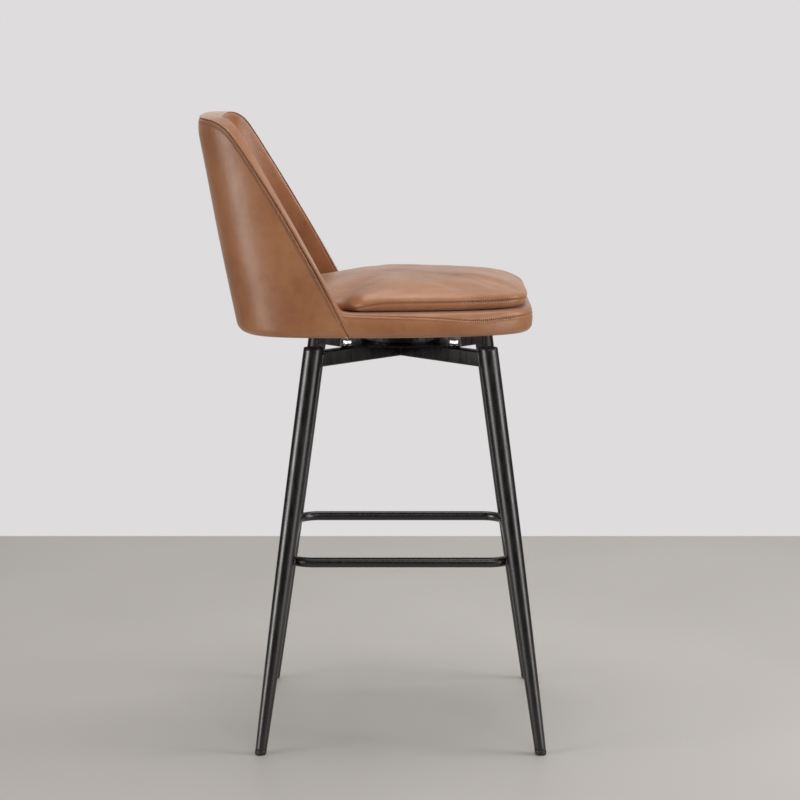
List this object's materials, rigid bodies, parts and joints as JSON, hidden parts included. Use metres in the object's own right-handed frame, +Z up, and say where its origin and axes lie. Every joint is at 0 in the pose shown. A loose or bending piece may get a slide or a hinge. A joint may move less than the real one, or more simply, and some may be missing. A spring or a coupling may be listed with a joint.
{
  "type": "bar stool with footrest",
  "caption": "Swivel bar stool: upholstered bucket seat with a low wrap-round back on splayed tapered steel legs, with a round-tube footrest.",
  "frame": {"origin": "on the floor, under the middle of the stool's length and width", "axes": "+Z up, +X towards the front of the seat, +Y towards the sitter's left"},
  "size_m": [0.5559, 0.4652, 1.0083],
  "materials": {
    "black_steel": "black powder coat, satin",
    "black_plastic": "moulded black polyethylene, matte",
    "zinc": "bright zinc plating",
    "steel": "bare steel, lightly greased",
    "nylon": "natural nylon",
    "leather": "saddle-brown smooth-grain leather, semi-matte",
    "plywood": "bare plywood",
    "black_cloth": "black non-woven dust cloth"
  },
  "bodies": {
    "base": {"leg_front_left": "black_steel", "leg_front_right": "black_steel", "leg_rear_left": "black_steel", "leg_rear_right": "black_steel", "leg_cap_front_left": "black_plastic", "leg_cap_front_right": "black_plastic", "leg_cap_rear_left": "black_plastic", "leg_cap_rear_right": "black_plastic", "foot_glide_front_left": "black_plastic", "foot_glide_front_right": "black_plastic", "foot_glide_rear_left": "black_plastic", "foot_glide_rear_right": "black_plastic", "footrest_ring": "black_steel", "cross_bar": "black_steel", "half_bar_rear_left": "black_steel", "half_bar_front_right": "black_steel", "swivel_lower_plate": "black_steel", "swivel_inner_race": "black_steel", "plate_bolt_front_left": "zinc", "plate_bolt_front_right": "zinc", "plate_bolt_rear_left": "zinc", "plate_bolt_rear_right": "zinc", "weld_nut_front_left": "steel", "weld_nut_front_right": "steel", "weld_nut_rear_left": "steel", "weld_nut_rear_right": "steel"},
    "cage": {"ball_cage": "nylon", "ball_01": "steel", "ball_02": "steel", "ball_03": "steel", "ball_04": "steel", "ball_05": "steel", "ball_06": "steel", "ball_07": "steel", "ball_08": "steel", "ball_09": "steel", "ball_10": "steel", "ball_11": "steel", "ball_12": "steel"},
    "seat": {"swivel_outer_race": "black_steel", "swivel_upper_plate": "black_steel", "seat_bolt_front_left": "zinc", "seat_bolt_front_right": "zinc", "seat_bolt_rear_left": "zinc", "seat_bolt_rear_right": "zinc", "tee_nut_front_left": "zinc", "tee_nut_front_right": "zinc", "tee_nut_rear_left": "zinc", "tee_nut_rear_right": "zinc", "seat_tub": "leather", "seat_board": "plywood", "dust_cover": "black_cloth", "back_outer_cover": "leather", "back_board": "plywood", "back_inner_pad": "leather", "border_band": "leather", "seat_cushion": "leather"}
  },
  "joints": [
    {"name": "seat_swivel", "type": "hinge", "parent": "base", "child": "seat", "pos_m": [0.04536, 0, 0.652], "axis": [0, 0, 1], "continuous": true},
    {"name": "cage_turn", "type": "hinge", "parent": "base", "child": "cage", "pos_m": [0.04536, 0, 0.652], "axis": [0, 0, 1], "continuous": true}
  ],
  "couplings": [
    {"joint": "cage_turn", "follows": "seat_swivel", "ratio": 0.5}
  ]
}
